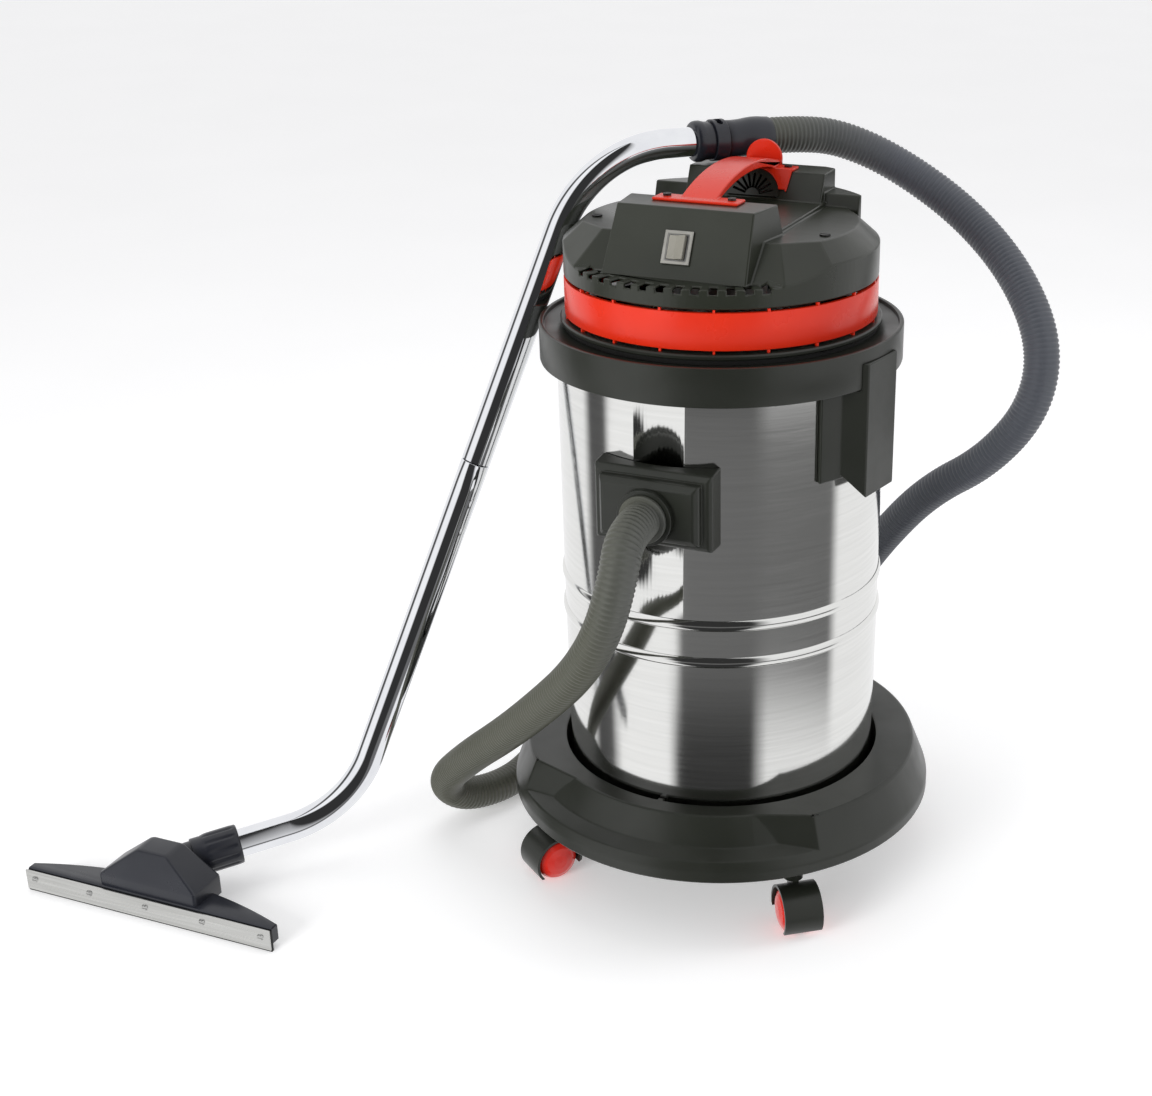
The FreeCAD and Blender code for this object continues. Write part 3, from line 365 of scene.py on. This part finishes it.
bezel_silver = metal("satin bezel", (0.46, 0.45, 0.41), (0.54, 0.53, 0.49), 0.34, 0.42, scale=50.0)
zinc = metal("zinc-plated steel", (0.50, 0.50, 0.49), (0.66, 0.66, 0.64), 0.28, 0.42, scale=80.0,
             scratch=0.08)
blackened = metal("blackened screw steel", (0.05, 0.05, 0.05), (0.09, 0.09, 0.085), 0.38, 0.50, scale=80.0,
                  scratch=0.08)
copper = metal("copper and laminated iron", (0.42, 0.18, 0.08), (0.62, 0.30, 0.14), 0.35, 0.50,
               stretch=(1, 1, 20.0), scale=50.0, scratch=0.15)


def make_paper():
    shader = Shader("pleated filter paper", roughness=0.85, specular=0.2)
    shader.colours(shader.noise(40.0, 8.0), (0.66, 0.63, 0.54), (0.80, 0.78, 0.70))
    shader.bump(shader.noise(700.0, 4.0), 0.3, 0.0003)
    return shader.material


paper = make_paper()

SLOT_MATERIALS = {
    "polished_steel": tank_steel, "black_plastic": black, "red_plastic": red, "wand_chrome": chrome,
    "hose_plastic": hose_plastic, "rubber": rubber, "satin_aluminium": aluminium,
    "switch_grey": switch_grey, "zinc_steel": zinc, "copper": copper, "grey_plastic": grey_plastic,
    "filter_paper": paper}

OWN_MATERIALS = {"cover_screws": blackened, "handle_screws": blackened, "squeegee_body": tool_black,
                 "neck_cuff": tool_black, "hose_cuff": tool_black, "air_relief_ring": tool_black,
                 "head_cover": black_cover, "switch_bezel": bezel_silver}


def material_of(name):
    if name.startswith("caster_wheels"):
        return wheel_red
    return OWN_MATERIALS.get(name, SLOT_MATERIALS[node_slot[name]])


# ---- Carried-over nodes ---------------------------------------------------
for name, node in nodes.items():
    node.data.materials.clear()
    node.data.materials.append(material_of(name))

hose.data.materials.append(hose_plastic)
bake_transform(hose)
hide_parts("suction_hose")


# ---- Wand -----------------------------------------------------------------
WAND_FOOT = (-0.5288, -0.3684)
WAND_DIRECTION = (0.6903, 0.7235)
WAND_TOP = 0.794
LOWER_START = (0.086, 0.051)      # (distance along the wand, height)
LOWER_SLOPE = 0.0945
STEEP_START = (0.275, 0.193)
STEEP_SLOPE = 2.3155
JOINT = 0.392
JOINT_GAP = 0.0004
LOWER_BEND = 0.120
UPPER_BEND = 0.137
CUFF_START = 0.655
CUFF_BORE_DEPTH = 0.042
TUBE_RADIUS = 0.016
TUBE_WALL = 0.0014
EDGE_BREAK = 0.0006


def wand_point(distance, height):
    return Vector((WAND_FOOT[0] + WAND_DIRECTION[0] * distance,
                   WAND_FOOT[1] + WAND_DIRECTION[1] * distance, height))


def steep_point(distance):
    return wand_point(distance, STEEP_START[1] + STEEP_SLOPE * (distance - STEEP_START[0]))


def low_point(distance):
    return wand_point(distance, LOWER_START[1] + LOWER_SLOPE * (distance - LOWER_START[0]))


def bent_line(start, corner, end, radius, arc_steps=40, run_steps=12):
    """A straight run, a tangent arc and a straight run."""
    back = (start - corner).normalized()
    ahead = (end - corner).normalized()
    half_turn = (math.pi - back.angle(ahead)) / 2
    reach = radius * math.tan(half_turn)
    enter = corner + back * reach
    centre = corner + (back + ahead).normalized() * (radius / math.cos(half_turn))
    spoke = enter - centre
    axis = spoke.cross(corner + ahead * reach - centre).normalized()
    line = [start.lerp(enter, k / run_steps) for k in range(run_steps)]
    for k in range(arc_steps + 1):
        line.append(centre + Quaternion(axis, 2 * half_turn * k / arc_steps) @ spoke)
    leave = line[-1]
    line += [leave.lerp(end, k / run_steps) for k in range(1, run_steps + 1)]
    return line


def make_wand():
    low_corner = (LOWER_START[1] - LOWER_SLOPE * LOWER_START[0] - STEEP_START[1]
                  + STEEP_SLOPE * STEEP_START[0])
    low_corner = low_corner / (STEEP_SLOPE - LOWER_SLOPE)
    high_corner = STEEP_START[0] + (WAND_TOP - STEEP_START[1]) / STEEP_SLOPE
    lines = {
        "wand_lower": bent_line(low_point(0.050), low_point(low_corner), steep_point(JOINT - JOINT_GAP),
                                LOWER_BEND),
        "wand_upper": bent_line(steep_point(JOINT), wand_point(high_corner, WAND_TOP),
                                wand_point(CUFF_START + CUFF_BORE_DEPTH, WAND_TOP), UPPER_BEND)}
    end_radius = TUBE_RADIUS - EDGE_BREAK
    for name, line in lines.items():
        line.insert(1, line[0].lerp(line[1], 0.02))
        line.insert(-1, line[-1].lerp(line[-2], 0.02))
        outer = [end_radius] + [TUBE_RADIUS] * (len(line) - 2) + [end_radius]
        bore = [TUBE_RADIUS - TUBE_WALL] * len(line)
        piece = tube(name + "_finished", line, outer, around=64, bores=bore)
        finish_piece(piece, chrome, "wand", [name])


def make_hose_cuff():
    """Moulded cuff with two raised bands; the groove between them carries the relief ring.

    The profile is in millimetres: (distance from the cuff's start, radius).
    """
    profile = [(0.0, 19.0), (0.8, 20.4), (2.5, 21.6), (5.0, 22.2), (9.0, 22.2), (12.0, 21.4), (15.0, 20.6),
               (20.5, 20.4), (21.8, 19.8), (22.0, 18.0), (38.0, 18.0), (38.2, 19.8), (39.5, 20.4),
               (48.0, 20.2), (58.0, 20.6), (66.0, 21.6), (72.0, 22.1), (80.0, 22.1), (86.0, 21.4),
               (92.0, 21.0), (93.0, 20.4)]
    line = [wand_point(CUFF_START + along / 1000, WAND_TOP) for along, radius in profile]
    radii = [radius / 1000 for along, radius in profile]
    bores = [0.0161 if along < CUFF_BORE_DEPTH * 1000 else 0.0150 for along, radius in profile]
    cuff = tube("hose_cuff_finished", line, radii, around=64, bores=bores, smooth_angle=40.0)
    finish_piece(cuff, tool_black, "wand", ["hose_cuff"])


make_wand()
make_hose_cuff()


# ---- Turned parts ---------------------------------------------------------
TANK_RADIUS = 0.175
TANK_WALL = 0.0012
TANK_FLOOR = 0.098
TANK_TOP = 0.620
BEAD_HEIGHTS = (0.310, 0.352)
BEAD_RISE = 0.0026
BEAD_HALF = 0.006
INLET_HEIGHT = 0.48
INLET_HOLE = 0.027
CENTRE = 0.0005                   # radius at which an outline meets the tank's axis


def bead_profile(radius, bottom, top, steps=10):
    """One side of the tank's sheet from the bottom up, over two round beads."""
    side = [(radius, bottom)]
    for height in BEAD_HEIGHTS:
        for k in range(steps + 1):
            angle = math.pi * k / steps
            rise = BEAD_RISE * math.sin(angle) ** 1.3
            side.append((radius + rise, height - BEAD_HALF * math.cos(angle)))
    side.append((radius, top))
    return side


def make_tank():
    outside = bead_profile(TANK_RADIUS, TANK_FLOOR, TANK_TOP)
    inside = bead_profile(TANK_RADIUS - TANK_WALL, TANK_FLOOR + TANK_WALL, TANK_TOP)
    profile = [(CENTRE, TANK_FLOOR), (TANK_RADIUS - 0.0015, TANK_FLOOR)] + outside[1:]
    profile += inside[::-1] + [(CENTRE, TANK_FLOOR + TANK_WALL)]
    tank = lathe("tank_shell_finished", profile, smooth_angle=60.0)
    cutter = tube("inlet_cutter", [Vector((0, -0.20, INLET_HEIGHT)), Vector((0, -0.15, INLET_HEIGHT))],
                  [INLET_HOLE, INLET_HOLE], around=64)
    hole = tank.modifiers.new("inlet", "BOOLEAN")
    hole.operation = "DIFFERENCE"
    hole.solver = "EXACT"
    hole.object = cutter
    bpy.context.view_layer.update()
    graph = bpy.context.evaluated_depsgraph_get()
    drilled = bpy.data.meshes.new_from_object(tank.evaluated_get(graph))
    tank.modifiers.clear()
    tank.data = drilled
    bpy.data.objects.remove(cutter)
    finish_piece(tank, tank_steel, "tank", ["tank_shell"])


def make_collar():
    profile = [(0.1752, 0.5940), (0.1762, 0.5930), (0.1915, 0.5930), (0.1926, 0.5936), (0.1930, 0.5948),
               (0.1930, 0.6318), (0.1926, 0.6329), (0.1917, 0.6334), (0.1890, 0.6335), (0.1882, 0.6330),
               (0.1873, 0.6294), (0.1864, 0.6290), (0.1640, 0.6290), (0.1631, 0.6286), (0.1630, 0.6277),
               (0.1630, 0.6210), (0.1634, 0.6205), (0.1752, 0.6205)]
    collar = lathe("tank_collar_finished", profile, smooth_angle=40.0)
    finish_piece(collar, black, "tank", ["tank_collar"])


def make_band():
    profile = [(0.1610, 0.6425), (0.1640, 0.6425), (0.1647, 0.6428), (0.1650, 0.6436), (0.1650, 0.6794),
               (0.1647, 0.6802), (0.1640, 0.6805), (0.1610, 0.6805)]
    band = lathe("exhaust_band_finished", profile, smooth_angle=40.0)
    finish_piece(band, red, "head", ["exhaust_band"])


make_tank()
make_collar()
make_band()


# ---- Floor tool -----------------------------------------------------------
TOOL_X = -0.5205
TOOL_HALF = 0.1625
TOOL_FRONT = -0.400
TOOL_END_BACK = -0.390
TOOL_BOW = 0.028
SPOUT_RADIUS = 0.019
SPOUT_BORE = 0.0161
FLUTE_DEPTH = 1.5                 # millimetres, as in the sleeve's stations


def stacked(name, loops, smooth_angle=30.0):
    """Skin a stack of loops that all have the same number of points."""
    count = len(loops[0])
    vertices = [point for loop in loops for point in loop]
    faces = [tuple(range(count))[::-1], tuple((len(loops) - 1) * count + k for k in range(count))]
    for i in range(len(loops) - 1):
        for k in range(count):
            m = (k + 1) % count
            faces.append((i * count + k, i * count + m, (i + 1) * count + m, (i + 1) * count + k))
    return new_object(name, vertices, faces, smooth_angle)


def soft_rectangle(half, front, back, height, corner=0.004, steps=5):
    """A level rectangle about the tool's middle with rounded corners."""
    loop = []
    corners = ((half - corner, back - corner, 0), (-half + corner, back - corner, 90),
               (-half + corner, front + corner, 180), (half - corner, front + corner, 270))
    for x, y, start in corners:
        for k in range(steps + 1):
            angle = math.radians(start + 90 * k / steps)
            loop.append((TOOL_X + x + corner * math.cos(angle), y + corner * math.sin(angle), height))
    return loop


def leaf_loop(inset, height, steps=24):
    """Plan of the channel: straight in front and bowed behind."""
    half = TOOL_HALF - inset
    loop = [(TOOL_X - half, TOOL_FRONT + inset, height), (TOOL_X + half, TOOL_FRONT + inset, height)]
    for k in range(steps + 1):
        x = half * (1 - 2 * k / steps)
        y = TOOL_END_BACK + TOOL_BOW * (1 - (x / half) ** 2) - inset
        loop.append((TOOL_X + x, y, height))
    return loop


def make_floor_tool():
    channel = stacked("tool_channel", [
        leaf_loop(0.0006, 0.008), leaf_loop(0, 0.0086), leaf_loop(0, 0.0262), leaf_loop(0.0008, 0.0275),
        leaf_loop(0.002, 0.028)])
    hood = stacked("tool_hood", [
        soft_rectangle(0.0640, -0.3985, -0.351, 0.020), soft_rectangle(0.0640, -0.3985, -0.351, 0.0400),
        soft_rectangle(0.0632, -0.3980, -0.351, 0.0425), soft_rectangle(0.0600, -0.3965, -0.3515, 0.0450),
        soft_rectangle(0.0230, -0.3850, -0.3525, 0.0720), soft_rectangle(0.0200, -0.3830, -0.3540, 0.0735),
        soft_rectangle(0.0160, -0.3800, -0.3560, 0.0740)])
    spout = tube("tool_spout", [low_point(0.014), low_point(0.030), low_point(0.089)],
                 [SPOUT_RADIUS] * 3, around=48, bores=[SPOUT_BORE] * 3)
    for piece in (channel, hood, spout):
        finish_piece(piece, tool_black, "floor_tool", ["squeegee_body"])


def make_neck_cuff(around=120, flutes=12):
    """Clamping sleeve with a smooth collar towards the hood and long flutes.

    The stations are in millimetres: (distance along the wand, radius, share of the flutes' depth).
    """
    axis = (low_point(0.090) - low_point(0.040)).normalized()
    side = axis.cross(Vector((0, 0, 1))).normalized()
    up = side.cross(axis)
    stations = ((40.0, 20.4, 0), (40.8, 21.2, 0), (52.0, 21.2, 0), (53.0, 21.6, 0), (56.0, 22.4, 0.4),
                (60.0, 22.8, 1), (84.0, 22.8, 1), (86.0, 22.6, 0.4), (88.5, 22.4, 0), (90.5, 22.2, 0),
                (91.5, 21.2, 0), (91.5, 17.0, 0), (88.0, 16.3, 0))
    vertices = []
    for along, radius, depth in stations:
        centre = low_point(along / 1000)
        for k in range(around):
            angle = 2 * math.pi * k / around
            groove = max(0.0, math.cos(flutes * angle)) ** 2 * FLUTE_DEPTH * depth
            reach = (radius - groove) / 1000
            vertices.append(centre + (side * math.cos(angle) + up * math.sin(angle)) * reach)
    faces = []
    for i in range(len(stations) - 1):
        for k in range(around):
            m = (k + 1) % around
            faces.append((i * around + k, i * around + m, (i + 1) * around + m, (i + 1) * around + k))
    sleeve = new_object("neck_cuff_finished", vertices, faces, 40.0)
    finish_piece(sleeve, tool_black, "floor_tool", ["neck_cuff"])


make_floor_tool()
make_neck_cuff()


# ---- Rounded copies of the moulded parts ----------------------------------
MERGE_DISTANCE = 0.00002
FLAT_ANGLE = 0.8                  # degrees between facets that count as one plane
CREASE_ANGLE = 14.0               # degrees from which an edge is rounded


def rounded(name, width):
    """A copy of a CAD node with its flat facets merged and its edges rounded."""
    mesh = nodes[name].data.copy()
    bm = bmesh.new()
    bm.from_mesh(mesh)
    bmesh.ops.remove_doubles(bm, verts=bm.verts, dist=MERGE_DISTANCE)
    bmesh.ops.dissolve_limit(bm, angle_limit=math.radians(FLAT_ANGLE), verts=bm.verts, edges=bm.edges)
    for face in bm.faces:
        face.smooth = True
    bm.to_mesh(mesh)
    bm.free()
    mesh.set_sharp_from_angle(angle=math.radians(CREASE_ANGLE))
    copy = bpy.data.objects.new(name + "_finished", mesh)
    scene.collection.objects.link(copy)
    bevel = copy.modifiers.new("edges", "BEVEL")
    bevel.width = width
    bevel.segments = 2
    bevel.limit_method = "ANGLE"
    bevel.angle_limit = math.radians(CREASE_ANGLE)
    bevel.use_clamp_overlap = False
    normals = copy.modifiers.new("flat faces", "WEIGHTED_NORMAL")
    normals.mode = "FACE_AREA"
    normals.weight = 90
    normals.keep_sharp = True
    bpy.context.view_layer.update()
    graph = bpy.context.evaluated_depsgraph_get()
    final = bpy.data.meshes.new_from_object(copy.evaluated_get(graph))
    copy.modifiers.clear()
    copy.data = final
    finish_piece(copy, material_of(name), node_body[name], [name])


EDGE_WIDTHS = {
    "head_cover": 0.0014, "inlet_plate": 0.0016, "switch_bezel": 0.0006, "switch_rocker": 0.0006,
    "front_strip": 0.0003, "carry_handle": 0.0010, "side_grip": 0.0014, "base_skirt": 0.0016,
    "air_relief_ring": 0.0005, "inlet_port": 0.0008, "inlet_cuff": 0.0008}
for name, width in EDGE_WIDTHS.items():
    rounded(name, width)


# ---- Studio ---------------------------------------------------------------
def make_floor():
    mesh = bpy.data.meshes.new("floor")
    size = 12.0
    mesh.from_pydata([(-size, -size, 0), (size, -size, 0), (size, size, 0), (-size, size, 0)], [],
                     [(0, 1, 2, 3)])
    floor = bpy.data.objects.new("floor", mesh)
    scene.collection.objects.link(floor)
    shader = Shader("pale floor", roughness=0.9, specular=0.1)
    shader.colours(shader.noise(2.0, 2.0), (0.86, 0.86, 0.86), (0.88, 0.88, 0.88))
    shader.principled.inputs["Emission Color"].default_value = (1, 1, 1, 1)
    shader.principled.inputs["Emission Strength"].default_value = 0.30
    mesh.materials.append(shader.material)
    floor.visible_glossy = False


WALL_VIEW = -22.7                 # elevation, in degrees, that upright walls reflect to the camera


def make_world():
    """Studio surroundings: an even fill, and for reflections a ring of grey and white screens."""
    world = bpy.data.worlds.new("studio")
    scene.world = world
    world.use_nodes = True
    tree = world.node_tree
    background = tree.nodes["Background"]

    def math_node(operation, first, second=None):
        made = tree.nodes.new("ShaderNodeMath")
        made.operation = operation
        for socket, value in zip(made.inputs, (first, second)):
            if isinstance(value, (int, float)):
                socket.default_value = value
            elif value is not None:
                tree.links.new(value, socket)
        return made.outputs[0]

    def screens(stops):
        """Brightness by bearing, from stops of (degrees from the camera's side, level)."""
        ramp = tree.nodes.new("ShaderNodeValToRGB")
        elements = ramp.color_ramp.elements
        while len(elements) < len(stops):
            elements.new(0.5)
        for element, (degrees, level) in zip(elements, stops):
            element.position = (degrees + 180) / 360
            element.color = (level, level, level * 1.01, 1)
        tree.links.new(share, ramp.inputs["Fac"])
        return ramp.outputs["Color"]

    def mixed(factor, first, second):
        mix = tree.nodes.new("ShaderNodeMix")
        mix.data_type = "RGBA"
        tree.links.new(factor, mix.inputs[0])
        for socket, value in ((mix.inputs[6], first), (mix.inputs[7], second)):
            if isinstance(value, tuple):
                socket.default_value = value
            else:
                tree.links.new(value, socket)
        return mix.outputs[2]

    place = tree.nodes.new("ShaderNodeTexCoord")
    turn = tree.nodes.new("ShaderNodeMapping")
    turn.inputs["Rotation"].default_value = (0, 0, -AZIMUTH)
    tree.links.new(place.outputs["Generated"], turn.inputs["Vector"])
    split = tree.nodes.new("ShaderNodeSeparateXYZ")
    tree.links.new(turn.outputs["Vector"], split.inputs["Vector"])
    bearing = math_node("ARCTAN2", split.outputs["X"], math_node("MULTIPLY", split.outputs["Y"], -1.0))
    share = math_node("ADD", math_node("DIVIDE", bearing, 2 * math.pi), 0.5)
    low = screens([(-180, 0.95), (-112, 0.95), (-104, 0.10), (-90, 0.10), (-84, 1.0), (-34, 1.0),
                   (-28, 0.17), (84, 0.15), (92, 0.95), (180, 0.95)])
    high = screens([(-180, 0.95), (-112, 0.95), (-104, 0.06), (-90, 0.10), (-80, 1.0), (-40, 1.0),
                    (-32, 0.035), (22, 0.035), (34, 0.95), (180, 0.95)])
    # The low ring is what upright walls reflect; slanting and level surfaces see the high ring.
    middle = math.sin(math.radians(WALL_VIEW))
    away = math_node("ABSOLUTE", math_node("SUBTRACT", split.outputs["Z"], middle))
    edge = math_node("MULTIPLY", math_node("SUBTRACT", away, 0.07), 25.0)
    step = math_node("MINIMUM", math_node("MAXIMUM", edge, 0.0), 1.0)
    ring = mixed(step, low, high)
    path = tree.nodes.new("ShaderNodeLightPath")
    fill = mixed(path.outputs["Is Diffuse Ray"], ring, (0.62, 0.62, 0.63, 1))
    final = mixed(path.outputs["Is Camera Ray"], fill, (1.0, 1.0, 1.0, 1))
    tree.links.new(final, background.inputs["Color"])
    background.inputs["Strength"].default_value = 1.0


def add_light(name, place, aim, size, power):
    data = bpy.data.lights.new(name, "AREA")
    data.shape = "RECTANGLE"
    data.size, data.size_y = size
    data.energy = power
    light = bpy.data.objects.new(name, data)
    light.location = place
    direction = Vector(aim) - Vector(place)
    light.rotation_mode = "QUATERNION"
    light.rotation_quaternion = direction.to_track_quat("-Z", "Y")
    light.visible_glossy = False
    scene.collection.objects.link(light)


make_floor()
make_world()
add_light("key", (-0.9, -2.9, 1.0), (0, 0, 0.45), (1.2, 1.2), 52)
add_light("rim", (2.2, 1.4, 1.6), (0, 0, 0.5), (1.2, 1.6), 18)
add_light("top", (-0.4, 0.3, 2.6), (0, 0, 0.4), (1.6, 1.6), 10)
